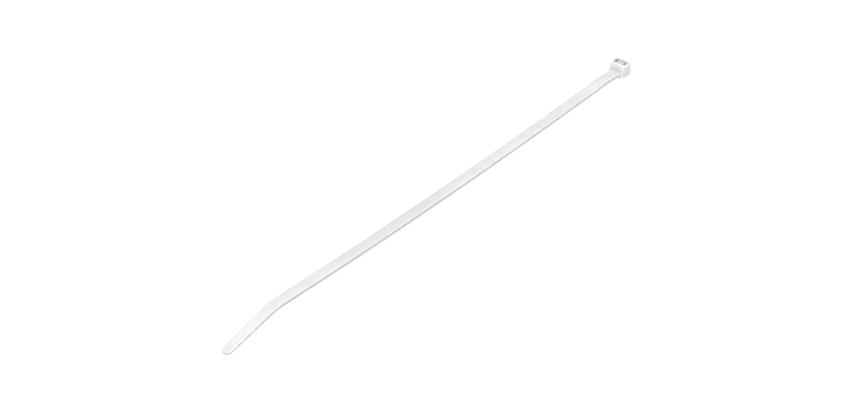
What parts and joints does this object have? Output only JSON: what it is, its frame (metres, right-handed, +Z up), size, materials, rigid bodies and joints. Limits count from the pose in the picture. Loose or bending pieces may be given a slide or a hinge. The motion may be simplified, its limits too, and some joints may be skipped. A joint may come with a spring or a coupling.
{
  "type": "cable tie",
  "caption": "Self-locking nylon cable tie lying flat: long toothed strap, bent tail with a rounded tip, and a box-shaped head with a slot and pawl.",
  "frame": {"origin": "middle of the head's flat base, which is also the surface that the tie lies on", "axes": "+X from the head along the strap to the tail, +Y across the strap, +Z up out of the head's top, where the tail would come out"},
  "size_m": [0.3582, 0.0116, 0.0099],
  "materials": {
    "nylon": "natural translucent nylon with a soft gloss"
  },
  "bodies": {
    "root": {"cable_tie": "nylon"}
  },
  "joints": []
}
